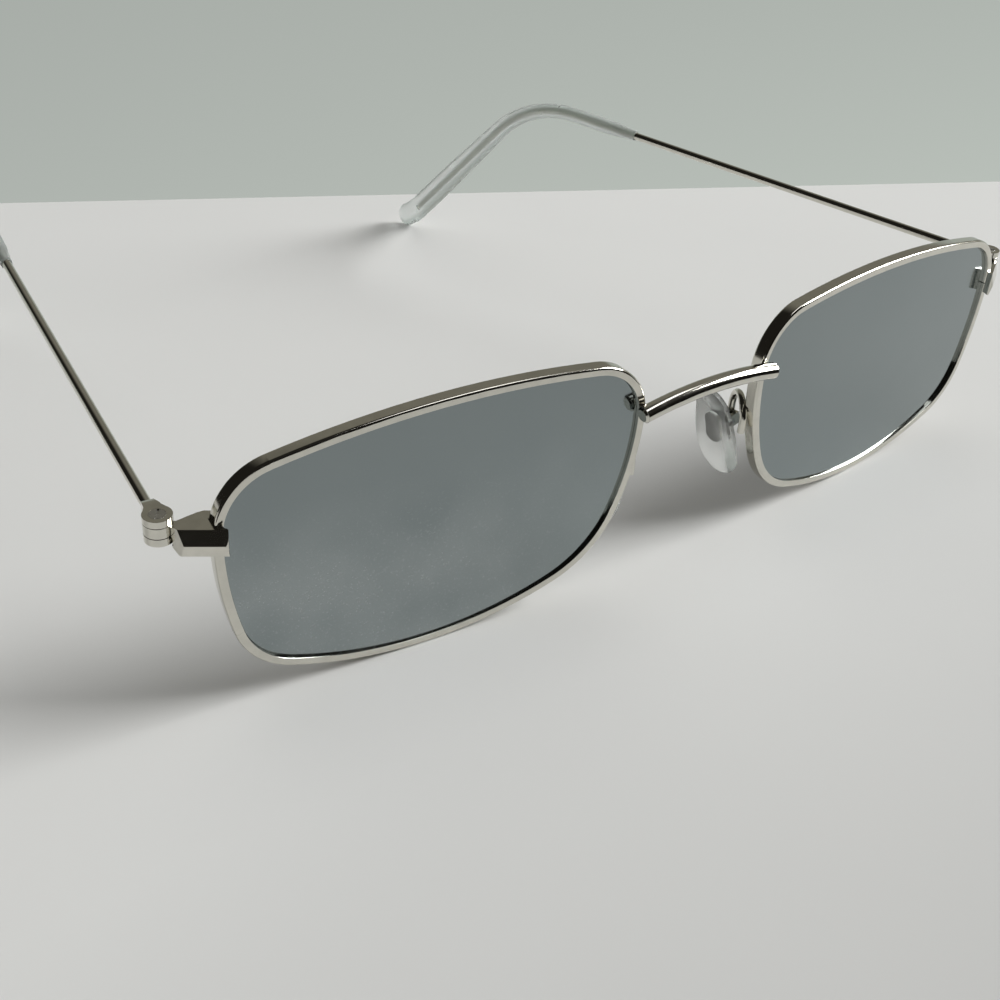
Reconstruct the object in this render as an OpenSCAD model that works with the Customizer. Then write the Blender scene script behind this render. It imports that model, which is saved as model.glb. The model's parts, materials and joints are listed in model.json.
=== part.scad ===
// Mirrored sunglasses: flat metal rims, a wire bridge, hinged wire temples and rocking nose pads.
// Each piece is drawn in the frame of the glasses (X across, Y back, Z up, rims upright, temples
// level) and the whole is then leaned forward until rims and temple tips stand on one table.

/* [Rims] */
// Outer width of one rim
rim_w = 55.4; // [53:0.1:58]
// Outer height of one rim
rim_h = 34.7; // [32:0.1:38]
// Distance between the rim centres
rim_pitch = 74.64; // [74:0.02:75.4]
// Angle each rim is turned back at its outer side
wrap = 6; // [5.5:0.1:6.5]
// Width of the rim seen from the front
rim_band = 1.1; // [1:0.05:1.3]
// Front-to-back depth of the rim
rim_depth = 1.9; // [1.8:0.05:2.2]

/* [Lenses] */
// Radius of the lens front
lens_r = 1000; // [700:10:1500]
// Lens thickness
lens_t = 1.4; // [1.2:0.1:1.6]

/* [Bridge] */
// Diameter of the bridge wire
bridge_d = 2.2; // [1.8:0.1:2.4]
// How far the straight cut ends of the bridge reach over the rims
bridge_over = 1.2; // [0.9:0.02:1.6]
// Radius the bridge is bent to
bridge_bend = 58; // [50:1:80]

/* [Temples] */
// Diameter of the temple wire
wire_d = 1.3; // [1.2:0.05:1.5]
// Inward angle of the left temple as it stands
toe_left = 13.6; // [10:0.1:15]
// Inward angle of the right temple as it stands
toe_right = 6.55; // [5:0.05:10]
// Distance from the hinge to the ear bend
straight_s = 82; // [78:0.5:86]
// Angle of the ear bend
ear_a = 47.5; // [45:0.1:50]
// Distance from the hinge to the clear sleeve
sleeve_s = 68; // [64:0.5:72]
// Diameter of the sleeve past its thin lip
sleeve_d = 2.5; // [2.3:0.05:2.8]
// Height of the paddle at the end of the sleeve
paddle_h = 4.6; // [4:0.1:5]
// Thickness of the paddle
paddle_t = 2.2; // [2:0.1:2.4]

/* [Nose pads] */
// Length of a nose pad
pad_l = 13.5; // [13:0.1:14]
// Thickness of a nose pad
pad_t = 2.6; // [2.4:0.1:2.8]
// Diameter of the pad arm wire
arm_d = 1; // [0.9:0.05:1.1]

/* [Hidden] */
fine = 96;
dense = 8000;
// Corner arcs of the rim outline: outer top, inner top, inner bottom, outer bottom.
hw = rim_w / 2;
hh = rim_h / 2;
inset = [[8.33, 10.83], [8.2, 9.02], [16.55, 17.26], [11.77, 12.67]];
corner_r = [8.3, 8.2, 14.9, 10.3];
side_r = [130.4, 35.9, 52.6, 48.6];
corner = [
  [hw - inset[0][0], hh - inset[0][1]],
  [inset[1][0] - hw, hh - inset[1][1]],
  [inset[2][0] - hw, inset[2][1] - hh],
  [hw - inset[3][0], inset[3][1] - hh],
];
// Corner arcs are swept this much stouter and longer than the sides they take in.
lap = 0.004;
lap_l = 0.05;
// Rounding of the rim: outer edges, then the front inner edge.
rim_edge = 0.35;
rim_lip = 0.15;
edge_steps = 4;
groove_mid = 1.2;
groove_half = 0.4;
groove_in = 0.5;
lens_gap = 0.02;
lens_front = 0.2;
// Half-width of the ball-shell slice a lens is cut from, and how far cutters reach past it.
blank = 30;
blank_over = 0.6;
reach = 3;
dx = rim_pitch / 2;
// Outermost and innermost points of the left rim, seen from above.
rim_out = [dx + hw * cos(wrap), hw * sin(wrap)];
rim_in = [dx - hw * cos(wrap), -hw * sin(wrap)];

// End block, in a frame that runs along the block's foremost ridge; z is the height on the glasses.
block_at = rim_out - [1.07, 1.52];
block_turn = 31;
block_top = 8.1;
block_split = 6.25;
block_low = 4.75;
block_plan = [
  [0.4, 0], [4.7, 0], [6.05, 1.05], [6.05, 2.15], [5.6, 2.15], [4.46, 3.05], [3.74, 3.6],
  [2.9, 4.05], [2.2, 4.05], [1.75, 3.4], [1.75, 2.6], [0.4, 0.8],
];
block_nose = 0.4;
block_rake = 0.5;
block_under = 0.3;
block_heel = 0.7;
split_gap = 0.15;
lock_at = [3.6, 2];
lock_r = 0.45;
lock_cover = 0.6;
lock_head_r = 0.8;
lock_head_h = 0.45;

// Hinge: the axis, then heights from the lower lug to the screw head.
hinge_at = rim_out + [4.232, 4.205];
lug_r = 1.65;
lug_low = 5.79;
lug_low_top = 6.69;
barrel_low = 6.74;
barrel_top = 8.1;
lug_up_low = 8.15;
lug_top = 8.97;
pin_r = 0.5;
barrel_bore_r = 0.55;
head_r = 0.95;
head_h = 0.3;
slot_w = 0.25;
slot_h = 0.14;
slot_turn = 25;
// Fork of the temple: length to the wire, radius of its gap, where its neck starts, its side heights.
clevis_l = 3.6;
clevis_floor = 1.95;
neck = [[0.9, 1.35], [1.7, 0.95], [clevis_l, 0.72]];
neck_in = 2;
neck_low = 0.8;
neck_top = 0.75;
lug_gap = 0.14;
lug_clear = 0.35;
wire_z = 7.7;

// Temple path: bend, straight drop, last curve.
ear_r = 24.5;
drop_l = 31;
end_r = 14;
end_a = 27;
core_short = 0.3;
ear_len = ear_r * ear_a * PI / 180;
end_len = end_r * end_a * PI / 180;
run_a = straight_s - sleeve_s;
run_b = run_a + ear_len;
run_c = run_b + drop_l;
run_d = run_c + end_len;
ear_end = [straight_s + ear_r * sin(ear_a), ear_r * (cos(ear_a) - 1)];
drop_end = ear_end + drop_l * [cos(ear_a), -sin(ear_a)];
fit = 0.01;
// Sleeve: lip round the wire, length of its lead, then where it starts and ends growing flat.
lip = 0.14;
lead_l = 6;
flat_l0 = 14;
flat_l1 = 60;

// Nose pad frame: x towards the nose, y across the pad, z up its length.
pad_at = concat(rim_in + [-0.17, 5.8], -3.4);
pad_turn = [6, 13, 184];
pad_top_r = 2.7;
pad_low_r = 3.6;
pad_dome = 24;
pad_crown = 7.5;
pad_arc = 30;
pad_tuck = 0.06;
pin_x = -2.3;
pin_z = 1;
box_x0 = -3.5;
box_x1 = -1.7;
box_w = 2.6;
box_h = 1.8;
box_wall = 0.4;
cheek = 0.55;
eye_r = 0.6;
screw_r = 0.3;
pad_slot_w = 0.18;
pad_slot_h = 0.12;
eye_bore_r = 0.35;
insert_x = -0.7;
insert_t = 0.5;
plate_half = 1.1;
plate_r = 1.2;
plate_tuck = 0.05;
eye_gap = 0.05;
stem_w = 0.7;

// Pad arm: one leg soldered up the rim, a half loop, one leg down on to the box.
arm_foot = rim_in + [-0.07, 1.45];
arm_z = 0.3;
arm_leg = 1.5;
arm_head = pad_point([box_x0 + box_wall / 2, 0, pin_z + box_h / 2]);
arm_span = [arm_head[0] - arm_foot[0], arm_head[1] - arm_foot[1]];
arm_r = norm(arm_span) / 2;

// Bridge: its centre line in front of the rims, the height of its crest, the taper of its ends.
bridge_half = rim_in[0] + bridge_over;
bridge_y = rim_in[1] - 0.855;
bridge_top = 10.1;
bridge_tip = 0.3;

// The lean that puts the rims and the temple tips on one table, and the place of the origin.
cap_at = path_at(run_d - paddle_h / 2);
tip_low = [hinge_at[1] + cap_at[0] * cos(toe_left), wire_z + cap_at[1] - paddle_h / 2];
rim_low = [rim_edge * cos(wrap) + side_at(2)[0] * sin(wrap), side_at(2)[1] - side_r[2]];
lean = atan2(rim_low[1] - tip_low[1], tip_low[0] - rim_low[0]);
front_y = bridge_y * cos(lean) - bridge_top * sin(lean) - bridge_d / 2;
tip_back = [hinge_at[1] + (cap_at[0] + paddle_h / 2) * cos(toe_right), wire_z + cap_at[1]];
back_y = tip_back[0] * cos(lean) - tip_back[1] * sin(lean);
stand_y = -(front_y + back_y) / 2;
stand_z = -(rim_low[0] * sin(lean) + rim_low[1] * cos(lean));

function nxt(i) = (i + 1) % 4;
function prv(i) = (i + 3) % 4;
function bearing(v) = atan2(v[1], v[0]);
function turn(a, b) = (b - a + 720) % 360;

// Centre of side arc i, which touches corner arcs i and i + 1 from outside.
function side_at(i) =
  let (
    a = corner[i],
    d = corner[nxt(i)] - a,
    l = norm(d),
    e = d / l,
    p = side_r[i] - corner_r[i],
    q = side_r[i] - corner_r[nxt(i)],
    x = (p * p - q * q + l * l) / (2 * l)
  )
  a + e * x + [-e[1], e[0]] * sqrt(p * p - x * x);

// Points round a quarter of an edge, from angle a turning clockwise.
function edge_pts(c, r, a, n) = [for (k = [0 : n]) c + r * [cos(a - 90 * k / n), sin(a - 90 * k / n)]];

// A point of the nose pad's frame, in the frame of the glasses.
function about_x(p, a) = [p[0], p[1] * cos(a) - p[2] * sin(a), p[1] * sin(a) + p[2] * cos(a)];
function about_y(p, a) = [p[0] * cos(a) + p[2] * sin(a), p[1], p[2] * cos(a) - p[0] * sin(a)];
function about_z(p, a) = [p[0] * cos(a) - p[1] * sin(a), p[0] * sin(a) + p[1] * cos(a), p[2]];
function pad_point(p) = pad_at + about_z(about_y(about_x(p, pad_turn[0]), pad_turn[1]), pad_turn[2]);

// Points round an arc that starts at angle a and turns by t.
function arc_pts(c, r, a, t, n) = [for (k = [0 : n - 1]) c + r * [cos(a + t * k / n), sin(a + t * k / n)]];

// A many-sided outline, o outside the rim outline.
function loop_pts(o) = [
  for (i = [0 : 3])
    let (a0 = bearing(corner[i] - side_at(prv(i))), a1 = bearing(corner[i] - side_at(i)))
    let (b1 = bearing(corner[nxt(i)] - side_at(i)))
    each concat(
      arc_pts(corner[i], corner_r[i] + o, a0, turn(a0, a1), 6),
      arc_pts(side_at(i), side_r[i] + o, a1, turn(a1, b1), 4)
    )
];

module corner_sweep(i) {
  a0 = bearing(corner[i] - side_at(prv(i)));
  a1 = bearing(corner[i] - side_at(i));
  over = lap_l / corner_r[i] * 180 / PI;
  translate(corner[i])
    rotate([0, 0, a0 - over])
      rotate_extrude(angle = turn(a0, a1) + 2 * over, $fn = fine)
        translate([corner_r[i], 0])
          children();
}

module side_sweep(i) {
  a0 = bearing(corner[i] - side_at(i));
  a1 = bearing(corner[nxt(i)] - side_at(i));
  translate(side_at(i))
    rotate([0, 0, a0])
      rotate_extrude(angle = turn(a0, a1), $fn = 4 * fine)
        translate([side_r[i], 0])
          children();
}

// Section of the rim, grown by g all round; x is out from the outer edge, y is forward.
module rim_section(g) {
  in = -rim_band - g;
  back = -rim_depth - g;
  polygon(concat(
    edge_pts([g - rim_edge, g - rim_edge], rim_edge, 90, edge_steps),
    edge_pts([g - rim_edge, back + rim_edge], rim_edge, 0, edge_steps),
    [
      [in, back], [in, -groove_mid - groove_half + g], [groove_in + in, -groove_mid],
      [in, -groove_mid + groove_half - g],
    ],
    edge_pts([in + rim_lip, g - rim_lip], rim_lip, 180, edge_steps / 2)
  ));
}

// What is cut away round a lens, grown by g all round: everything outside its bevelled edge.
module lens_cut_section(g) {
  land = -rim_band - 2 * lens_gap - g;
  tip = -rim_band + groove_in - 5 * lens_gap - g;
  rise = groove_half / groove_in;
  wide = groove_half - lens_gap + rise * 2 * lens_gap - g;
  slim = wide - rise * (tip - land);
  polygon([
    [land, reach + g], [reach + g, reach + g], [reach + g, -2 * reach - g], [land, -2 * reach - g],
    [land, -groove_mid - wide],
    [tip, -groove_mid - slim], [tip, -groove_mid + slim], [land, -groove_mid + wide],
  ]);
}

module plug_section(g) {
  o = fit + g;
  polygon([[-reach, o], [o, o], [o, -rim_depth - o], [-reach, -rim_depth - o]]);
}

module rim_place() {
  translate([dx, 0, 0]) rotate([0, 0, wrap]) rotate([90, 0, 0]) children();
}

// Where the rim is, filled inwards, to seat other pieces on it.
module rim_plug(outer) {
  rim_place() {
    corner_sweep(outer ? 0 : 1) plug_section(lap);
    side_sweep(outer ? 3 : 1) plug_section(0);
    side_sweep(0) plug_section(0);
  }
}

module side(s) {
  mirror([s < 0 ? 1 : 0, 0, 0]) children();
}

module stand() {
  translate([0, stand_y, stand_z]) rotate([lean, 0, 0]) children();
}

module rod(r, z0, z1) {
  translate([0, 0, z0]) cylinder(h = z1 - z0, r = r, $fn = 48);
}

module rim() {
  color([0.75, 0.75, 0.75]) rim_place() difference() {
    union() {
      for (i = [0 : 3]) {
        corner_sweep(i) rim_section(lap);
        side_sweep(i) rim_section(0);
      }
    }
    translate([hw - reach, block_split - split_gap, -rim_depth - 1])
      cube([reach + 1, split_gap, rim_depth + 2]);
  }
}

// A slice of a thin ball shell, wider than the lens.
module lens_shell() {
  half_a = asin(blank / lens_r);
  sag = lens_r - sqrt(lens_r * lens_r - 2 * blank * blank);
  translate([0, 0, -lens_front - lens_r])
    rotate([90, 0, 0])
      rotate([0, 0, 90 - half_a])
        rotate_extrude(angle = 2 * half_a, $fn = dense)
          intersection() {
            difference() {
              circle(lens_r, $fn = dense);
              circle(lens_r - lens_t, $fn = dense);
            }
            translate([lens_r - lens_t - sag - 1, -blank]) square([lens_t + sag + 2, 2 * blank]);
          }
}

module lens() {
  color([0.44, 0.47, 0.47]) rim_place() difference() {
    intersection() {
      translate([0, 0, -2 * reach]) linear_extrude(3 * reach) polygon(loop_pts(blank_over));
      lens_shell();
    }
    for (i = [0 : 3]) {
      corner_sweep(i) lens_cut_section(lap);
      side_sweep(i) lens_cut_section(0);
    }
  }
}

module bridge_end(a, way) {
  rotate([0, 0, a]) translate([bridge_bend, 0, 0]) rotate([way * 90, 0, 0]) translate([0, 0, -lap_l])
    cylinder(h = bridge_tip + lap_l, r1 = bridge_d / 2 - lap, r2 = bridge_d / 2 - bridge_tip, $fn = 48);
}

module bridge() {
  half_a = asin(bridge_half / bridge_bend);
  color([0.75, 0.75, 0.75]) difference() {
    translate([0, bridge_y, bridge_top - bridge_bend]) rotate([90, 0, 0]) union() {
      rotate([0, 0, 90 - half_a])
        rotate_extrude(angle = 2 * half_a, $fn = 4 * fine)
          translate([bridge_bend, 0])
            circle(d = bridge_d, $fn = 48);
      bridge_end(90 - half_a, 1);
      bridge_end(90 + half_a, -1);
    }
    for (s = [-1, 1]) side(s)
      rim_place()
        translate([-hw - 3 * fit, 0, -2 * bridge_d])
          cube([2 * reach, hh, 2 * bridge_d + fit]);
  }
}

module block_place() {
  translate([block_at[0], block_at[1], 0]) rotate([0, 0, block_turn]) children();
}

module block(z0, z1) {
  block_place() translate([0, 0, z0]) linear_extrude(z1 - z0) union() {
    polygon(block_plan);
    translate([block_nose, block_nose]) circle(block_nose, $fn = 48);
  }
}

// Cuts away what lies in front of a plane that rises from the ridge at block_split, back by set at z.
module front_cut(z, set) {
  more = set / abs(z - block_split);
  way = sign(z - block_split);
  block_place() rotate([90, 0, 90]) translate([0, 0, -1]) linear_extrude(block_plan[2][0] + 2)
    polygon([
      [-more, block_split - way], [set + more, z + way], [-reach, z + way], [-reach, block_split - way],
    ]);
}

// Room for the lower lug of the temple to turn in.
module lug_relief() {
  translate(hinge_at) rod(lug_r + lug_clear, lug_low - lug_gap, barrel_low);
}

module lock_place() {
  block_place() translate(lock_at) children();
}

module end_piece() {
  color([0.75, 0.75, 0.75]) difference() {
    block(block_split, block_top);
    rim_plug(true);
    front_cut(block_top, block_rake);
    lug_relief();
    translate(hinge_at) rod(lug_r + fit, barrel_low - 1, block_top + 1);
    lock_place() rod(lock_r, block_split - 1, block_top - lock_cover);
  }
}

module rim_lock() {
  heel_x = block_plan[2][0];
  color([0.75, 0.75, 0.75]) difference() {
    block(block_low, block_split);
    rim_plug(true);
    front_cut(block_low, block_under);
    lug_relief();
    lock_place() rod(lock_r, block_low - 1, block_split + 1);
    lock_place() rod(lock_head_r, block_low - 1, block_low + lock_head_h);
    block_place() rotate([90, 0, 0]) translate([0, 0, -2 * reach]) linear_extrude(3 * reach)
      polygon([
        [heel_x - block_heel - 1, block_low - 1], [heel_x + 1, block_low - 1],
        [heel_x + 1, block_low + block_heel + 1],
      ]);
  }
}

module lock_screw() {
  color([0.6, 0.6, 0.6]) lock_place() difference() {
    union() {
      rod(lock_head_r, block_low, block_low + lock_head_h);
      rod(lock_r, block_low + lock_head_h, block_top - lock_cover);
    }
    translate([-lock_head_r, -slot_w / 2, block_low - 1]) cube([2 * lock_head_r, slot_w, 1 + slot_h]);
  }
}

// The middle barrel of the hinge, brazed into the seat at the end of the block.
module hinge_front() {
  color([0.75, 0.75, 0.75]) translate(hinge_at) difference() {
    rod(lug_r, barrel_low, barrel_top);
    rod(barrel_bore_r, barrel_low - 1, barrel_top + 1);
  }
}

module temple_place(toe) {
  translate([hinge_at[0], hinge_at[1], 0]) rotate([0, 0, 90 + toe]) children();
}

module hinge_temple(toe) {
  end_x = clevis_l + lap / 4;
  color([0.75, 0.75, 0.75]) temple_place(toe) difference() {
    intersection() {
      translate([0, 0, lug_low]) linear_extrude(lug_top - lug_low) union() {
        circle(lug_r, $fn = 48);
        polygon(concat([for (k = [2 : -1 : 0]) neck[k]], [for (p = neck) [p[0], -p[1]]]));
      }
      rotate([90, 0, 0]) translate([0, 0, -reach]) linear_extrude(2 * reach) polygon([
        [-reach, lug_low - 1], [neck_in, lug_low - 1], [neck_in, lug_low], [end_x, wire_z - neck_low],
        [end_x, wire_z + neck_top], [neck_in, lug_top], [neck_in, lug_top + 1], [-reach, lug_top + 1],
      ]);
    }
    rod(clevis_floor, lug_low_top, lug_up_low);
    rod(pin_r, lug_low - 1, lug_top + 1);
    rod(head_r, lug_top - head_h, lug_top + 1);
  }
}

module hinge_screw(toe) {
  color([0.6, 0.6, 0.6]) temple_place(toe) difference() {
    union() {
      rod(pin_r, lug_low, lug_top - head_h);
      rod(head_r, lug_top - head_h, lug_top);
    }
    rotate([0, 0, slot_turn]) translate([-head_r, -slot_w / 2, lug_top - slot_h])
      cube([2 * head_r, slot_w, 1]);
  }
}

// Wire of radius r from distance s0 along the temple to short of the end; bends are a lap stouter.
module temple_wire(r, s0) {
  over = lap_l / ear_r * 180 / PI;
  translate([0, 0, wire_z]) rotate([90, 0, 0]) {
    translate([s0, 0, 0]) rotate([0, 90, 0]) cylinder(h = straight_s - s0, r = r, $fn = 48);
    translate([straight_s, -ear_r, 0]) rotate([0, 0, 90 - ear_a - over])
      rotate_extrude(angle = ear_a + 2 * over, $fn = 2 * fine)
        translate([ear_r, 0]) circle(r + lap, $fn = 48);
    translate([ear_end[0], ear_end[1], 0]) rotate([0, 0, -ear_a]) rotate([0, 90, 0])
      cylinder(h = drop_l - core_short, r = r, $fn = 48);
  }
}

module temple(toe) {
  color([0.75, 0.75, 0.75]) temple_place(toe) temple_wire(wire_d / 2, clevis_l);
}

// Centre line of the sleeve: place and slope at length l from its start.
function path_at(l) =
  l < run_a ? [sleeve_s + l, 0, 0]
  : l < run_b ? let (a = (l - run_a) / ear_r * 180 / PI)
    [straight_s + ear_r * sin(a), ear_r * (cos(a) - 1), a]
  : l < run_c ? [ear_end[0] + (l - run_b) * cos(ear_a), ear_end[1] - (l - run_b) * sin(ear_a), ear_a]
  : let (t = (l - run_c) / end_r * 180 / PI, a = ear_a - t)
    [drop_end[0] + end_r * (sin(ear_a) - sin(a)), drop_end[1] - end_r * (cos(a) - cos(ear_a)), a];

function ease(t) = let (u = min(1, max(0, t))) u * u * (3 - 2 * u);
function cap(l) = let (c = paddle_h / 2, u = max(0, l - (run_d - c)) / c) sqrt(max(0.0004, 1 - u * u));
function flat(l) = ease((l - flat_l0) / (flat_l1 - flat_l0));
function tube_r(l) = wire_d / 2 + lip + (sleeve_d / 2 - wire_d / 2 - lip) * ease(l / lead_l);
function half_h(l) = (tube_r(l) + (paddle_h - sleeve_d) / 2 * flat(l)) * cap(l);
function half_t(l) = (tube_r(l) + (paddle_t - sleeve_d) / 2 * flat(l)) * cap(l);

around = 24;
rings = 30;
cap_rings = 7;
ring_l = concat(
  [for (k = [0 : rings]) (run_d - paddle_h / 2) * k / rings],
  [for (k = [1 : cap_rings]) run_d - paddle_h / 2 * (1 - sin(90 * k / cap_rings))]
);

module temple_sleeve(toe) {
  count = len(ring_l);
  pts = [
    for (l = ring_l, j = [0 : around - 1])
      let (p = path_at(l), a = 360 * j / around, h = half_h(l) * cos(a))
      [p[0] + h * sin(p[2]), half_t(l) * sin(a), p[1] + h * cos(p[2])]
  ];
  faces = concat(
    [[for (j = [0 : around - 1]) j]],
    [for (k = [0 : count - 2], j = [0 : around - 1])
      [k * around + j, (k + 1) * around + j, (k + 1) * around + (j + 1) % around]],
    [for (k = [0 : count - 2], j = [0 : around - 1])
      [k * around + j, (k + 1) * around + (j + 1) % around, k * around + (j + 1) % around]],
    [[for (j = [around - 1 : -1 : 0]) (count - 1) * around + j]]
  );
  color([0.85, 0.88, 0.88]) temple_place(toe) difference() {
    translate([0, 0, wire_z]) polyhedron(pts, faces);
    temple_wire(wire_d / 2 + fit, sleeve_s - 1);
  }
}

module arm_wire(r) {
  over = lap_l / arm_r * 180 / PI;
  drop = arm_z - arm_head[2] + box_h / 2;
  translate([arm_foot[0] + arm_span[0] / 2, arm_foot[1] + arm_span[1] / 2, arm_z])
    rotate([0, 0, -atan2(arm_span[0], arm_span[1])])
      rotate([90, 0, 90]) {
        translate([-arm_r, 0, 0]) rotate([90, 0, 0]) cylinder(h = arm_leg, r = r, $fn = 32);
        translate([arm_r, 0, 0]) rotate([90, 0, 0]) cylinder(h = drop, r = r, $fn = 32);
        rotate([0, 0, -over]) rotate_extrude(angle = 180 + 2 * over, $fn = 64)
          translate([arm_r, 0]) circle(r + lap, $fn = 32);
      }
}

module pad_place() {
  translate(pad_at) rotate(pad_turn) children();
}

module box_solid() {
  translate([box_x0, -box_w / 2, pin_z - box_h / 2]) cube([box_x1 - box_x0, box_w, box_h]);
}

module pad_arm() {
  color([0.7, 0.7, 0.7]) difference() {
    arm_wire(arm_d / 2);
    rim_plug(false);
    pad_place() box_solid();
  }
}

module pad_box() {
  gap = box_w - 2 * cheek;
  color([0.7, 0.7, 0.7]) pad_place() difference() {
    box_solid();
    translate([box_x0 + box_wall, -gap / 2, pin_z - box_h]) cube([box_x1 - box_x0, gap, 2 * box_h]);
    translate([pin_x, 0, pin_z]) rotate([90, 0, 0]) rod(screw_r, -box_w, box_w);
  }
}

module pad_screw() {
  color([0.6, 0.6, 0.6]) pad_place() translate([pin_x, 0, pin_z]) rotate([90, 0, 0]) difference() {
    union() {
      rod(screw_r, -box_w / 2, box_w / 2);
      rod(2 * screw_r, box_w / 2, box_w / 2 + screw_r);
    }
    translate([-2 * screw_r, -pad_slot_w / 2, box_w / 2 + screw_r - pad_slot_h])
      cube([4 * screw_r, pad_slot_w, 1]);
  }
}

// The oval plate inside the pad and the neck that reaches back to the screw, grown by gap.
module insert_solid(gap) {
  stem = stem_w + 2 * gap;
  side_y = plate_r + gap - plate_tuck;
  translate([insert_x - gap, 0, pin_z]) rotate([0, 90, 0]) linear_extrude(insert_t + 2 * gap) union() {
    translate([-plate_half, 0]) circle(plate_r + gap, $fn = 48);
    translate([plate_half, 0]) circle(plate_r + gap, $fn = 48);
    translate([-plate_half, -side_y]) square([2 * plate_half, 2 * side_y]);
  }
  translate([pin_x, -stem / 2, pin_z - stem / 2]) cube([insert_x - pin_x + insert_t / 2, stem, stem]);
}

module pad_insert() {
  eye_w = box_w - 2 * cheek - 2 * eye_gap;
  color([0.3, 0.3, 0.3]) pad_place() difference() {
    union() {
      insert_solid(0);
      translate([pin_x, 0, pin_z]) rotate([90, 0, 0]) rod(eye_r, -eye_w / 2, eye_w / 2);
    }
    translate([pin_x, 0, pin_z]) rotate([90, 0, 0]) rod(eye_bore_r, -box_w, box_w);
  }
}

// The crowned side of a pad: long curve pad_dome, cross curve pad_crown.
module pad_face() {
  translate([pad_t / 2 - pad_dome, 0, 0]) rotate([90, 0, 0])
    rotate([0, 0, -pad_arc])
      rotate_extrude(angle = 2 * pad_arc, $fn = 4 * fine)
        translate([pad_dome - pad_crown, 0])
          circle(pad_crown, $fn = 2 * fine);
}

module nose_pad() {
  up = pad_l / 2 - pad_top_r;
  down = pad_l / 2 - pad_low_r;
  slant = asin((pad_low_r - pad_top_r) / (up + down));
  top = (pad_top_r - pad_tuck) * [sin(slant), cos(slant)];
  low = (pad_low_r - pad_tuck) * [sin(slant), cos(slant)];
  color([0.85, 0.88, 0.88]) pad_place() difference() {
    intersection() {
      rotate([90, 0, 90]) translate([0, 0, -reach]) linear_extrude(2 * reach) union() {
        polygon([
          [low[1], low[0] - down], [top[1], up + top[0]],
          [-top[1], up + top[0]], [-low[1], low[0] - down],
        ]);
        translate([0, up]) circle(pad_top_r, $fn = 64);
        translate([0, -down]) circle(pad_low_r, $fn = 64);
      }
      pad_face();
      mirror([1, 0, 0]) pad_face();
    }
    insert_solid(fit);
  }
}

stand() side(1) rim();  // rim_left
stand() side(-1) rim();  // rim_right
stand() side(1) lens();  // lens_left
stand() side(-1) lens();  // lens_right
stand() bridge();
stand() side(1) end_piece();  // end_piece_left
stand() side(-1) end_piece();  // end_piece_right
stand() side(1) rim_lock();  // rim_lock_left
stand() side(-1) rim_lock();  // rim_lock_right
stand() side(1) lock_screw();  // lock_screw_left
stand() side(-1) lock_screw();  // lock_screw_right
stand() side(1) hinge_front();  // hinge_front_left
stand() side(-1) hinge_front();  // hinge_front_right
stand() side(1) hinge_temple(toe_left);  // hinge_temple_left
stand() side(-1) hinge_temple(toe_right);  // hinge_temple_right
stand() side(1) hinge_screw(toe_left);  // hinge_screw_left
stand() side(-1) hinge_screw(toe_right);  // hinge_screw_right
stand() side(1) temple(toe_left);  // temple_left
stand() side(-1) temple(toe_right);  // temple_right
stand() side(1) temple_sleeve(toe_left);  // temple_sleeve_left
stand() side(-1) temple_sleeve(toe_right);  // temple_sleeve_right
stand() side(1) pad_arm();  // pad_arm_left
stand() side(-1) pad_arm();  // pad_arm_right
stand() side(1) pad_box();  // pad_box_left
stand() side(-1) pad_box();  // pad_box_right
stand() side(1) pad_screw();  // pad_screw_left
stand() side(-1) pad_screw();  // pad_screw_right
stand() side(1) nose_pad();  // nose_pad_left
stand() side(-1) nose_pad();  // nose_pad_right
stand() side(1) pad_insert();  // pad_insert_left
stand() side(-1) pad_insert();  // pad_insert_right
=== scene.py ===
"""Mirrored sunglasses standing open on a pale table."""

import json
import math

import bmesh
import bpy
from bpy.props import FloatProperty, FloatVectorProperty, PointerProperty
from mathutils import Euler, Matrix, Vector


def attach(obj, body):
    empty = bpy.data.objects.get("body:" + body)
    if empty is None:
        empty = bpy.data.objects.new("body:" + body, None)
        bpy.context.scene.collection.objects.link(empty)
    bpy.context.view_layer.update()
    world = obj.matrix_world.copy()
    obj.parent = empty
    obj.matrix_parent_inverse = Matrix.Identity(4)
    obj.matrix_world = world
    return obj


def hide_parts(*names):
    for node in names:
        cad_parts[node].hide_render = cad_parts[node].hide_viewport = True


bl_info = {
    "name": "Mirrored Sunglasses",
    "version": (1, 0, 0),
    "blender": (4, 5, 0),
    "location": "3D View > Sidebar > Sunglasses",
    "description": "Dresses the parts of a pair of metal sunglasses and lights them on a table",
    "category": "Object",
}

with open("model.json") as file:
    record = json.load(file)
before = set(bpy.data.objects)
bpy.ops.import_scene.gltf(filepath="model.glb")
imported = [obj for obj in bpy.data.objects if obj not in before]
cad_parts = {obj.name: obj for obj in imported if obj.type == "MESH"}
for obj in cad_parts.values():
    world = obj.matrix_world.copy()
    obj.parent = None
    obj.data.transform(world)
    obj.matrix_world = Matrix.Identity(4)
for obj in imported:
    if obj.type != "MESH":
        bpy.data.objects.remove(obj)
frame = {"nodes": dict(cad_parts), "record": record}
NODES = frame["nodes"]
BODY_OF = {n: b for b, names in frame["record"]["behaviour"]["bodies"].items() for n in names}
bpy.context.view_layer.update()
SIDES = ("left", "right")
MM = 0.001
UPRIGHT = math.radians(90)
# Vertices closer than this are one
WELD = 0.002 * MM
# Width of the camera's picture, in the camera's own millimetres
PICTURE_WIDTH = 36
# Share of dust on the whole coat, and how much lighter the coat grows towards the lower outer
# corner of the lens on the negative X side
DUST_EVERYWHERE, CORNER_LIGHTENING = 0.03, 0.27
# Where the painted shadow on the table starts towards the viewer, where it is darkest, and how pale
# the table is there
TABLE_SHADOW_FROM, TABLE_SHADOW_TO, TABLE_SHADOWED_SHARE = -80 * MM, -140 * MM, 0.82
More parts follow.
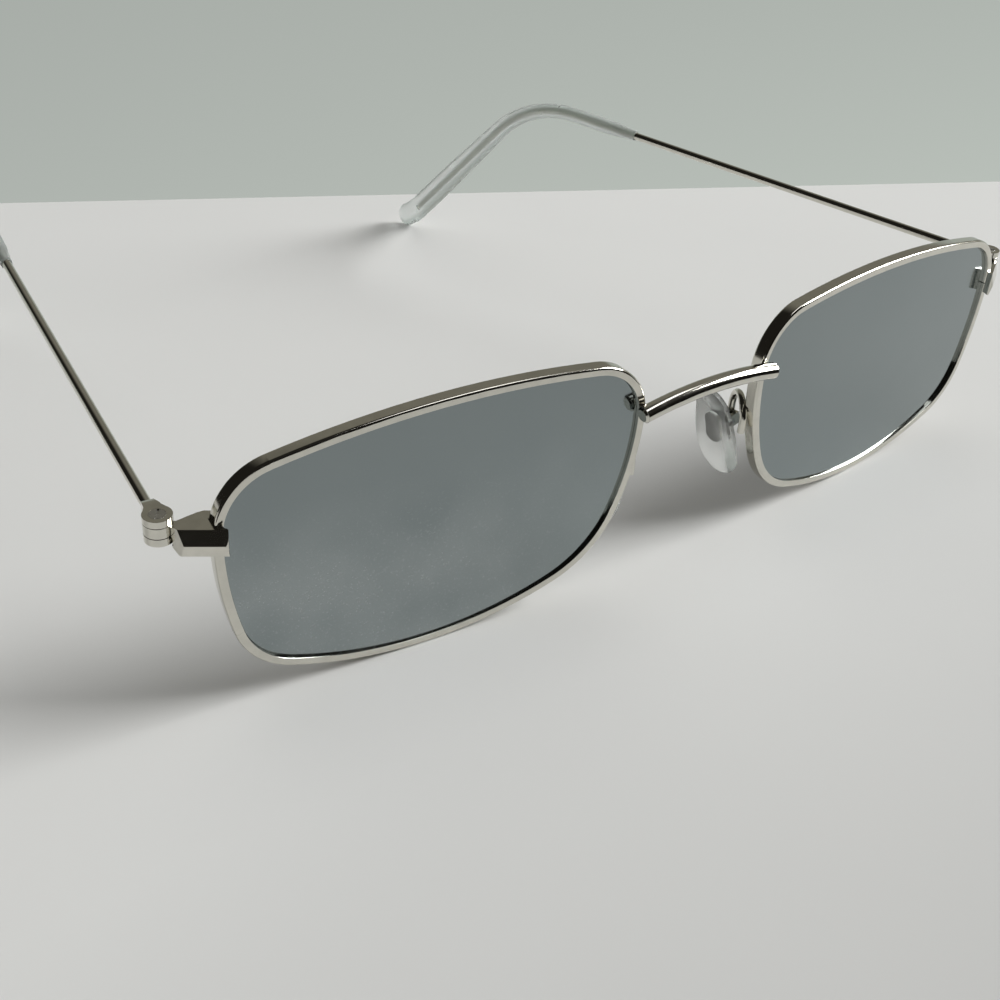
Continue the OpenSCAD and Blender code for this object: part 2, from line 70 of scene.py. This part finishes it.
# Where along X the wall's dimmer painted light at the left ends and its brighter painted light at
# the right begins
WALL_LEFT_ENDS, WALL_RIGHT_BEGINS = -0.05, 0.20
# Shares of the wall's height: it is not reflected above the first, and fully below the second
WALL_UNREFLECTED, WALL_REFLECTED = 0.42, 0.36
# Direction of the room's dim side, and how far towards it the dimness starts and is full
DIM_SIDE = (0.87, 0.5)
DIM_FROM, DIM_FULL = 0.25, 0.55
# Name, width, middle of the foot, and turn about the vertical in degrees
DARK_CARDS = (
    ("front card", 160 * MM, (5 * MM, -140 * MM), 25),
    ("left card", 66 * MM, (-104 * MM, -110 * MM), -38),
)
# Width and height, power in watts, and place
WINDOW = ((2.55, 2.30), 350.0, (4.16, -1.90, 2.45))
HIGH_WINDOW = ((0.80, 0.35), 2.0, (0.53, -0.53, 1.30))
SKY_LIGHT = ((1.6, 1.6), 4.2, (0.10, 0.50, 1.10))


class Metalwork(bpy.types.PropertyGroup):
    """Colours and finish of the metal parts."""

    frame_colour: FloatVectorProperty(
        name="Frame colour",
        description="Polished nickel-silver of the rims, bridge and temples",
        subtype="COLOR",
        default=(0.68, 0.66, 0.595),
        min=0,
        max=1,
    )
    frame_roughness: FloatProperty(
        name="Frame roughness",
        description="How blurred the frame's reflections are",
        default=0.085,
        min=0,
        max=1,
    )
    screw_colour: FloatVectorProperty(
        name="Screw colour",
        description="Machined steel of the small screws",
        subtype="COLOR",
        default=(0.60, 0.59, 0.57),
        min=0,
        max=1,
    )
    screw_roughness: FloatProperty(
        name="Screw roughness",
        description="How blurred the screws' reflections are",
        default=0.24,
        min=0,
        max=1,
    )
    insert_colour: FloatVectorProperty(
        name="Insert colour",
        description="Dull metal plate inside each nose pad",
        subtype="COLOR",
        default=(0.32, 0.31, 0.30),
        min=0,
        max=1,
    )
    edge_round: FloatProperty(
        name="Edge rounding",
        description="Radius the polisher leaves on outer edges",
        default=0.07 * MM,
        min=0,
        unit="LENGTH",
    )


class Lenswork(bpy.types.PropertyGroup):
    """Colour and haze of the mirrored lenses."""

    mirror_colour: FloatVectorProperty(
        name="Mirror colour",
        description="Share of the light that the coat sends back",
        subtype="COLOR",
        default=(0.255, 0.290, 0.296),
        min=0,
        max=1,
    )
    # Also the colour that the coat grows lighter towards at its lower outer corner
    dust_colour: FloatVectorProperty(
        name="Dust colour",
        description="Fine dust lying on the coat",
        subtype="COLOR",
        default=(0.52, 0.55, 0.55),
        min=0,
        max=1,
    )
    mirror_roughness: FloatProperty(
        name="Mirror roughness",
        description="How blurred the lens reflections are",
        default=0.10,
        min=0,
        max=1,
    )


class Clearwork(bpy.types.PropertyGroup):
    """Clear plastic of the temple sleeves and the nose pads."""

    sleeve_colour: FloatVectorProperty(
        name="Sleeve tint",
        description="Tint of the clear temple sleeves",
        subtype="COLOR",
        default=(0.90, 0.93, 0.92),
        min=0,
        max=1,
    )
    pad_colour: FloatVectorProperty(
        name="Pad tint",
        description="Tint of the clear nose pads",
        subtype="COLOR",
        default=(0.93, 0.94, 0.93),
        min=0,
        max=1,
    )
    sleeve_roughness: FloatProperty(
        name="Sleeve roughness",
        description="Haze of the sleeve surface",
        default=0.27,
        min=0,
        max=1,
    )
    pad_roughness: FloatProperty(
        name="Pad roughness",
        description="Haze of the pad surface",
        default=0.16,
        min=0,
        max=1,
    )


class Studio(bpy.types.PropertyGroup):
    """Table, wall, lamps and camera."""

    table_colour: FloatVectorProperty(
        name="Table colour",
        description="White table top",
        subtype="COLOR",
        default=(0.737, 0.741, 0.725),
        min=0,
        max=1,
    )
    table_width: FloatProperty(
        name="Table width",
        description="Width and depth of the table top",
        unit="LENGTH",
        default=1.5,
    )
    # The wall glows rather than being lit: these colours are painted light, dimmer at the left,
    # brighter at the right, and dimmer still at the top
    wall_left: FloatVectorProperty(
        name="Wall foot, left",
        description="Pale wall just above the table, at the left",
        subtype="COLOR",
        default=(0.42, 0.45, 0.42),
        min=0,
        max=1,
    )
    wall_right: FloatVectorProperty(
        name="Wall foot, right",
        description="Pale wall just above the table, at the right",
        subtype="COLOR",
        default=(0.49, 0.53, 0.49),
        min=0,
        max=1,
    )
    wall_top: FloatVectorProperty(
        name="Wall top",
        description="Dimmer top of the wall",
        subtype="COLOR",
        default=(0.30, 0.32, 0.30),
        min=0,
        max=1,
    )
    wall_foot: FloatVectorProperty(
        name="Wall foot",
        description="Middle of the line where the wall meets the table",
        size=2,
        unit="LENGTH",
        default=(225.7 * MM, -19.3 * MM),
    )
    wall_turn: FloatProperty(
        name="Wall turn",
        description="Turn of the wall about the vertical",
        subtype="ANGLE",
        default=math.radians(-30.1),
    )
    wall_width: FloatProperty(
        name="Wall width",
        description="Width of the wall",
        unit="LENGTH",
        default=1.0,
    )
    wall_height: FloatProperty(
        name="Wall height",
        description="Height of the wall",
        unit="LENGTH",
        default=160 * MM,
    )
    room_dark: FloatVectorProperty(
        name="Room, dark",
        description="Dark room in front and to the left, and the dark cards",
        subtype="COLOR",
        default=(0.015, 0.014, 0.012),
        min=0,
        max=1,
    )
    card_height: FloatProperty(
        name="Card height",
        description="Height of the dark cards",
        unit="LENGTH",
        default=40 * MM,
    )
    room_pale: FloatVectorProperty(
        name="Room, pale",
        description="Dim side of the room at the back right",
        subtype="COLOR",
        default=(0.205, 0.198, 0.168),
        min=0,
        max=1,
    )
    camera_place: FloatVectorProperty(
        name="Camera place",
        description="Where the photograph was taken from",
        subtype="TRANSLATION",
        unit="LENGTH",
        default=(-112.87 * MM, -179.18 * MM, 103.14 * MM),
    )
    camera_turn: FloatProperty(
        name="Camera azimuth",
        description="Turn of the camera about the vertical",
        subtype="ANGLE",
        default=math.radians(-36.133),
    )
    camera_height: FloatProperty(
        name="Camera elevation",
        description="How far the camera looks down",
        subtype="ANGLE",
        default=math.radians(30.964),
    )
    camera_roll: FloatProperty(
        name="Camera roll",
        description="Tilt of the picture",
        subtype="ANGLE",
        default=math.radians(0.718),
    )
    camera_lens: FloatProperty(
        name="Focal length",
        description="Lens length for a 36 mm wide picture, in millimetres",
        default=49.758,
        min=10,
    )


class Value:
    """A shader socket that can stand in a sum or a product."""

    def __init__(self, finish, socket):
        self.finish = finish
        self.socket = socket

    def _maths(self, operation, first, second):
        return self.finish.add("ShaderNodeMath", {"operation": operation}, {0: first, 1: second})

    def __add__(self, other):
        return self._maths("ADD", self, other)

    __radd__ = __add__

    def __rsub__(self, other):
        return self._maths("SUBTRACT", other, self)

    def __mul__(self, other):
        return self._maths("MULTIPLY", self, other)

    __rmul__ = __mul__


class Finish:
    """One material, or the sky, and the nodes it is made of."""

    def __init__(self, name, owner=None):
        self.owner = owner or bpy.data.materials.new(name)
        self.owner.use_nodes = True
        self.tree = self.owner.node_tree
        self.tree.nodes.clear()

    def add(self, kind, settings=None, sockets=None, output=0):
        """A node of one kind, its settings made first, then its sockets filled or linked."""
        node = self.tree.nodes.new(kind)
        for name, setting in (settings or {}).items():
            setattr(node, name, setting)
        for name, value in (sockets or {}).items():
            self._fill(node.inputs[name], value)
        return Value(self, node.outputs[output])

    def _fill(self, socket, value):
        if isinstance(value, Value):
            self.tree.links.new(value.socket, socket)
        else:
            socket.default_value = value

    def place(self):
        return self.add("ShaderNodeTexCoord", output="Object")

    def along(self, axis):
        """Distance along one axis of the object."""
        return self.add("ShaderNodeSeparateXYZ", None, {"Vector": self.place()}, output=axis)

    def noise(self, size, detail=3.0, roughness=0.5):
        """Soft noise whose blotches are about size metres across."""
        sockets = {
            "Vector": self.place(),
            "Scale": 1 / size,
            "Detail": detail,
            "Roughness": roughness,
        }
        return self.add("ShaderNodeTexNoise", None, sockets, output="Fac")

    def ramp(self, value, start, full):
        """Rises evenly from 0 at start to 1 at full, which may be the lower of the two."""
        sockets = {"Value": value, "From Min": start, "From Max": full}
        return self.add("ShaderNodeMapRange", None, sockets)

    def mix(self, factor, first, second):
        sockets = {"Factor": factor, 6: first, 7: second}
        return self.add("ShaderNodeMix", {"data_type": "RGBA"}, sockets, output=2)

    def seen_by(self, *rays):
        """1 for the rays named, 0 for the rest."""
        return sum(self.add("ShaderNodeLightPath", output=f"Is {ray} Ray") for ray in rays)

    def bump(self, height, depth):
        """Relief of the given depth in metres, at full strength."""
        sockets = {"Height": height, "Distance": depth, "Strength": 1.0}
        return self.add("ShaderNodeBump", None, sockets)

    def surface(self, sockets):
        return self.close(self.add("ShaderNodeBsdfPrincipled", None, sockets))

    def close(self, shader, end="ShaderNodeOutputMaterial"):
        """Sends the shader to the output, and gives back the material or sky."""
        out = self.tree.nodes.new(end)
        self.tree.links.new(shader.socket, out.inputs["Surface"])
        return self.owner


def rgba(colour):
    return (*colour, 1.0)


def polished_metal(name, colour, roughness, blotch=1.6 * MM):
    """Metal with faint handling marks and a hair-fine polish grain."""
    finish = Finish(name)
    marks = finish.ramp(finish.noise(blotch, 4.0), 0.35, 0.75)
    grain = finish.noise(0.09 * MM, 2.0)
    dark = tuple(c * 0.90 for c in colour)
    return finish.surface({
        "Base Color": finish.mix(marks, rgba(colour), rgba(dark)),
        "Metallic": 1.0,
        "Roughness": roughness + marks * 0.06,
        "Normal": finish.bump(grain, 0.0012 * MM),
    })


def mirror_coat(looks):
    """Mirror coat with a thin, uneven film of dust, and lighter in blotches towards its lower outer
    corner.
    """
    finish = Finish("lens mirror coat")
    outward = finish.ramp(finish.along("X"), -10 * MM, -34 * MM)
    downward = finish.ramp(finish.along("Z"), 26 * MM, 14 * MM)
    corner = outward * downward
    cloud = finish.ramp(finish.noise(16 * MM, 2.0), 0.32, 0.60)
    specks = finish.ramp(finish.noise(0.30 * MM, 2.0, 0.7), 0.58, 0.70)
    # Beyond the even dust, the second share makes the coat lighter in blotches towards its lower
    # outer corner
    dust = (DUST_EVERYWHERE + corner * CORNER_LIGHTENING) * (cloud + specks)
    return finish.surface({
        "Base Color": finish.mix(dust, rgba(looks.mirror_colour), rgba(looks.dust_colour)),
        "Metallic": 1.0,
        "Roughness": looks.mirror_roughness + dust * 0.35,
        "Normal": finish.bump(finish.noise(0.25 * MM, 2.0), 0.0008 * MM),
    })


def clear_plastic(name, colour, roughness, blotch):
    """Clear plastic with a slightly uneven, handled surface."""
    finish = Finish(name)
    film = finish.ramp(finish.noise(blotch, 3.0), 0.35, 0.75)
    dim = tuple(c * 0.94 for c in colour)
    return finish.surface({
        "Base Color": finish.mix(film, rgba(colour), rgba(dim)),
        "Roughness": roughness + film * 0.06,
        "IOR": 1.47,
        "Transmission Weight": 0.93,
        "Normal": finish.bump(finish.noise(0.5 * MM, 2.0), 0.002 * MM),
    })


def dull_metal(name, colour):
    """Metal left pitted and unpolished."""
    finish = Finish(name)
    pits = finish.noise(0.2 * MM, 3.0)
    dark = tuple(c * 0.7 for c in colour)
    return finish.surface({
        "Base Color": finish.mix(pits, rgba(colour), rgba(dark)),
        "Metallic": 1.0,
        "Roughness": 0.38 + pits * 0.12,
        "Normal": finish.bump(pits, 0.003 * MM),
    })


def rounded_copy(node, round_by, flat, crease=math.radians(28)):
    """A welded copy of a CAD node, smooth between its creases, its outer edges rounded."""
    mesh = bpy.data.meshes.new(f"{node}_dressed")
    form = bmesh.new()
    form.from_mesh(NODES[node].data)
    bmesh.ops.remove_doubles(form, verts=form.verts, dist=WELD)
    bmesh.ops.dissolve_limit(
        form, angle_limit=flat, verts=form.verts, edges=form.edges, delimit={"NORMAL"}
    )
    for face in form.faces:
        face.smooth = True
    for edge in form.edges:
        edge.smooth = len(edge.link_faces) == 2 and edge.calc_face_angle(0.0) < crease
    form.to_mesh(mesh)
    form.free()
    piece = bpy.data.objects.new(f"{node}_dressed", mesh)
    bpy.context.scene.collection.objects.link(piece)
    if round_by > 0:
        bevel = piece.modifiers.new("polished edges", "BEVEL")
        bevel.width = round_by
        bevel.segments = 2
        bevel.limit_method = "ANGLE"
        bevel.angle_limit = crease
        bevel.harden_normals = True
    even = piece.modifiers.new("flat faces stay flat", "WEIGHTED_NORMAL")
    even.keep_sharp = True
    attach(piece, BODY_OF[node])
    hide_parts(node)
    return piece


def both_sides(stem):
    return [f"{stem}_{side}" for side in SIDES]


def dress(nodes, material, round_by=0.0, flat=math.radians(0.4)):
    """Gives each node its finished copy in one material; faces within flat become one."""
    for node in nodes:
        piece = rounded_copy(node, round_by, flat)
        piece.data.materials.clear()
        piece.data.materials.append(material)


def frame_metal():
    """The frame's own metal, made once and shared."""
    made = bpy.data.materials.get("frame metal")
    looks = bpy.context.scene.sunglasses_metal
    return made or polished_metal("frame metal", looks.frame_colour, looks.frame_roughness)


def screw_metal():
    """The screws' steel, made once and shared."""
    made = bpy.data.materials.get("screw metal")
    looks = bpy.context.scene.sunglasses_metal
    return made or polished_metal(
        "screw metal", looks.screw_colour, looks.screw_roughness, blotch=0.6 * MM
    )


class SUNGLASSES_OT_rims(bpy.types.Operator):
    """Rims that hold the lenses."""

    bl_idname = "sunglasses.rims"
    bl_label = "Rims"

    def execute(self, context):
        dress(both_sides("rim"), frame_metal())
        return {"FINISHED"}


class SUNGLASSES_OT_lenses(bpy.types.Operator):
    """Mirrored lenses with a bevelled edge."""

    bl_idname = "sunglasses.lenses"
    bl_label = "Lenses"

    def execute(self, context):
        coat = mirror_coat(context.scene.sunglasses_lens)
        dress(both_sides("lens"), coat, flat=math.radians(0.01))
        return {"FINISHED"}


class SUNGLASSES_OT_bridge(bpy.types.Operator):
    """Wire bridge across the front of both rims."""

    bl_idname = "sunglasses.bridge"
    bl_label = "Bridge"

    def execute(self, context):
        dress(["bridge"], frame_metal(), context.scene.sunglasses_metal.edge_round)
        return {"FINISHED"}


class SUNGLASSES_OT_end_pieces(bpy.types.Operator):
    """End pieces and the lower halves that close the rims."""

    bl_idname = "sunglasses.end_pieces"
    bl_label = "End pieces"

    def execute(self, context):
        nodes = both_sides("end_piece") + both_sides("rim_lock")
        dress(nodes, frame_metal(), context.scene.sunglasses_metal.edge_round)
        return {"FINISHED"}


class SUNGLASSES_OT_hinges(bpy.types.Operator):
    """Middle barrels on the front and forked blocks on the temples."""

    bl_idname = "sunglasses.hinges"
    bl_label = "Hinges"

    def execute(self, context):
        nodes = both_sides("hinge_front") + both_sides("hinge_temple")
        dress(nodes, frame_metal(), context.scene.sunglasses_metal.edge_round)
        return {"FINISHED"}


class SUNGLASSES_OT_screws(bpy.types.Operator):
    """Slotted screws of the hinges, the rim locks and the pads."""

    bl_idname = "sunglasses.screws"
    bl_label = "Screws"

    def execute(self, context):
        nodes = both_sides("hinge_screw") + both_sides("lock_screw") + both_sides("pad_screw")
        dress(nodes, screw_metal(), context.scene.sunglasses_metal.edge_round / 2)
        return {"FINISHED"}


class SUNGLASSES_OT_temples(bpy.types.Operator):
    """Wire temples bent behind the ears."""

    bl_idname = "sunglasses.temples"
    bl_label = "Temples"

    def execute(self, context):
        dress(both_sides("temple"), frame_metal())
        return {"FINISHED"}


class SUNGLASSES_OT_sleeves(bpy.types.Operator):
    """Clear sleeves over the ends of the temples."""

    bl_idname = "sunglasses.sleeves"
    bl_label = "Temple sleeves"

    def execute(self, context):
        looks = context.scene.sunglasses_clear
        plastic = clear_plastic("clear sleeve", looks.sleeve_colour, looks.sleeve_roughness, 6 * MM)
        dress(both_sides("temple_sleeve"), plastic)
        return {"FINISHED"}


class SUNGLASSES_OT_nose_pads(bpy.types.Operator):
    """Clear nose pads and the plates inside them."""

    bl_idname = "sunglasses.nose_pads"
    bl_label = "Nose pads"

    def execute(self, context):
        looks = context.scene.sunglasses_clear
        plastic = clear_plastic("clear pad", looks.pad_colour, looks.pad_roughness, 2.5 * MM)
        dress(both_sides("nose_pad"), plastic, 0.25 * MM)
        insert = dull_metal("pad insert metal", context.scene.sunglasses_metal.insert_colour)
        dress(both_sides("pad_insert"), insert)
        return {"FINISHED"}


class SUNGLASSES_OT_pad_arms(bpy.types.Operator):
    """Bent wires and small boxes that carry the nose pads."""

    bl_idname = "sunglasses.pad_arms"
    bl_label = "Pad arms"

    def execute(self, context):
        dress(both_sides("pad_arm"), frame_metal())
        dress(both_sides("pad_box"), frame_metal(), context.scene.sunglasses_metal.edge_round)
        return {"FINISHED"}


def sheet(name, width, depth, place, turn, material):
    """A flat stage sheet, centred at place."""
    form = bmesh.new()
    bmesh.ops.create_grid(form, x_segments=1, y_segments=1, size=0.5)
    bmesh.ops.scale(form, verts=form.verts, vec=(width, depth, 1))
    stand = Matrix.Translation(place) @ turn.to_matrix().to_4x4()
    bmesh.ops.transform(form, verts=form.verts, matrix=stand)
    mesh = bpy.data.meshes.new(name)
    form.to_mesh(mesh)
    form.free()
    obj = bpy.data.objects.new(name, mesh)
    bpy.context.scene.collection.objects.link(obj)
    obj.data.materials.append(material)
    return obj


def matt(finish, colour):
    """A flat, faintly mottled coat of paint."""
    mottle = finish.noise(60 * MM, 2.0)
    return finish.surface({
        "Base Color": finish.mix(mottle * 0.05, colour, rgba((0, 0, 0))),
        "Roughness": 0.85,
        "Specular IOR Level": 0.12,
    })


def table_finish(looks):
    """White table top with a painted shadow that darkens it towards the viewer."""
    finish = Finish("table top")
    # Painted shadow: the table's colour darkens towards the viewer, standing in for shade falling
    # on its near part
    painted_shadow = finish.ramp(finish.along("Y"), TABLE_SHADOW_FROM, TABLE_SHADOW_TO)
    dim = tuple(c * TABLE_SHADOWED_SHARE for c in looks.table_colour)
    return matt(finish, finish.mix(painted_shadow, rgba(looks.table_colour), rgba(dim)))


def lamp(name, size, power, place):
    """A soft lamp that faces the glasses and is not seen itself."""
    data = bpy.data.lights.new(name, "AREA")
    data.shape = "RECTANGLE"
    data.size, data.size_y = size
    data.energy = power
    obj = bpy.data.objects.new(name, data)
    bpy.context.scene.collection.objects.link(obj)
    obj.location = place
    obj.rotation_euler = (-Vector(place)).to_track_quat("-Z", "Y").to_euler()
    obj.visible_camera = False
    return obj


def wall_finish(looks):
    """Pale wall seen from in front, its foot reflected too; it lets the lamps through. It glows
    with painted light, brighter at its foot and to the right, dimmer at its top.
    """
    finish = Finish("wall")
    height = looks.wall_height
    painted_dimming_upward = finish.ramp(finish.along("Z"), 0.0, height)
    side = finish.ramp(finish.along("X"), WALL_LEFT_ENDS, WALL_RIGHT_BEGINS)
    foot = finish.mix(side, rgba(looks.wall_left), rgba(looks.wall_right))
    colour = finish.mix(painted_dimming_upward, foot, rgba(looks.wall_top))
    # Painted light: the wall glows in this colour instead of taking light from the lamps
    paint = finish.add("ShaderNodeEmission", None, {"Color": colour}, output="Emission")
    clear = finish.add("ShaderNodeBsdfTransparent", output="BSDF")
    low = finish.ramp(finish.along("Z"), WALL_UNREFLECTED * height, WALL_REFLECTED * height)
    seen = finish.seen_by("Camera", "Transmission") + finish.seen_by("Glossy") * low
    front = 1 - finish.add("ShaderNodeNewGeometry", output="Backfacing")
    sockets = {0: seen * front, 1: clear, 2: paint}
    return finish.close(finish.add("ShaderNodeMixShader", None, sockets))


class SUNGLASSES_OT_stage(bpy.types.Operator):
    """White table, pale wall, dark cards, soft window light and the camera."""

    bl_idname = "sunglasses.stage"
    bl_label = "Stage"

    def execute(self, context):
        looks = context.scene.sunglasses_studio
        width = looks.table_width
        sheet("table", width, width, (0, 0, 0), Euler((0, 0, 0)), table_finish(looks))
        self.wall(looks)
        self.cards(looks)
        self.sky(context, looks)
        self.lamps()
        self.camera(context, looks)
        context.scene.view_settings.view_transform = "Standard"
        return {"FINISHED"}

    def wall(self, looks):
        """Pale wall behind the glasses, which neither shades nor tints the table."""
        width, height = looks.wall_width, looks.wall_height
        turn = Euler((UPRIGHT, 0, looks.wall_turn))
        middle = Vector((*looks.wall_foot, height / 2))
        wall = sheet("backdrop", width, height, middle, turn, wall_finish(looks))
        wall.visible_shadow = False
        wall.visible_diffuse = False

    def cards(self, looks):
        """Dark cards close in front, seen only as reflections."""
        paint = matt(Finish("dark card"), rgba(looks.room_dark))
        height = looks.card_height
        for name, width, foot, degrees in DARK_CARDS:
            turn = Euler((UPRIGHT, 0, math.radians(degrees)))
            card = sheet(name, width, height, (*foot, height / 2), turn, paint)
            card.visible_camera = False
            card.visible_diffuse = False
            card.visible_transmission = False
            card.visible_shadow = False

    def sky(self, context, looks):
        """Pale backdrop to the eye; dark room with a dim side at the back right to the rest."""
        world = bpy.data.worlds.new("room")
        context.scene.world = world
        finish = Finish("room", world)
        towards = finish.add("ShaderNodeTexCoord", output="Generated")
        across = finish.add("ShaderNodeSeparateXYZ", None, {"Vector": towards}, output="X")
        along = finish.add("ShaderNodeSeparateXYZ", None, {"Vector": towards}, output="Y")
        pale = finish.ramp(across * DIM_SIDE[0] + along * DIM_SIDE[1], DIM_FROM, DIM_FULL)
        room = finish.mix(pale, rgba(looks.room_dark), rgba(looks.room_pale))
        seen = finish.seen_by("Camera", "Transmission")
        colour = finish.mix(seen, room, rgba(looks.wall_left))
        shader = finish.add("ShaderNodeBackground", None, {"Color": colour}, output="Background")
        finish.close(shader, "ShaderNodeOutputWorld")

    def lamps(self):
        """Two windows, and a soft light from above that no reflection shows."""
        lamp("window", *WINDOW)
        lamp("high window", *HIGH_WINDOW)
        fill = lamp("sky light", *SKY_LIGHT)
        fill.visible_glossy = False
        fill.visible_transmission = False

    def camera(self, context, looks):
        """Camera at the photograph's viewing angle."""
        data = bpy.data.cameras.new("photograph view")
        data.lens = looks.camera_lens
        data.sensor_width = PICTURE_WIDTH
        data.clip_start = 1 * MM
        obj = bpy.data.objects.new("photograph view", data)
        context.scene.collection.objects.link(obj)
        turn = Matrix.Rotation(looks.camera_turn, 4, "Z")
        tip = Matrix.Rotation(UPRIGHT - looks.camera_height, 4, "X")
        roll = Matrix.Rotation(looks.camera_roll, 4, "Z")
        obj.matrix_world = Matrix.Translation(looks.camera_place) @ turn @ tip @ roll
        context.scene.camera = obj


OPERATORS = (
    SUNGLASSES_OT_rims,
    SUNGLASSES_OT_lenses,
    SUNGLASSES_OT_bridge,
    SUNGLASSES_OT_end_pieces,
    SUNGLASSES_OT_hinges,
    SUNGLASSES_OT_screws,
    SUNGLASSES_OT_temples,
    SUNGLASSES_OT_sleeves,
    SUNGLASSES_OT_nose_pads,
    SUNGLASSES_OT_pad_arms,
    SUNGLASSES_OT_stage,
)
LOOKS = {
    "sunglasses_metal": Metalwork,
    "sunglasses_lens": Lenswork,
    "sunglasses_clear": Clearwork,
    "sunglasses_studio": Studio,
}


class SUNGLASSES_PT_pieces(bpy.types.Panel):
    """Lists the pieces and their colours in the sidebar."""

    bl_idname = "SUNGLASSES_PT_pieces"
    bl_label = "Sunglasses"
    bl_space_type = "VIEW_3D"
    bl_region_type = "UI"
    bl_category = "Sunglasses"

    def draw(self, context):
        for name in LOOKS:
            looks = getattr(context.scene, name)
            for prop in looks.__annotations__:
                self.layout.prop(looks, prop)
        for operator in OPERATORS:
            self.layout.operator(operator.bl_idname)


def register():
    for name, looks in LOOKS.items():
        bpy.utils.register_class(looks)
        setattr(bpy.types.Scene, name, PointerProperty(type=looks))
    for operator in OPERATORS:
        bpy.utils.register_class(operator)
    bpy.utils.register_class(SUNGLASSES_PT_pieces)


def unregister():
    bpy.utils.unregister_class(SUNGLASSES_PT_pieces)
    for operator in reversed(OPERATORS):
        bpy.utils.unregister_class(operator)
    for name, looks in LOOKS.items():
        delattr(bpy.types.Scene, name)
        bpy.utils.unregister_class(looks)


def main():
    """Makes every piece and the stage."""
    register()
    for operator in OPERATORS:
        group, name = operator.bl_idname.split(".")
        getattr(getattr(bpy.ops, group), name)()


if __name__ == "__main__":
    main()
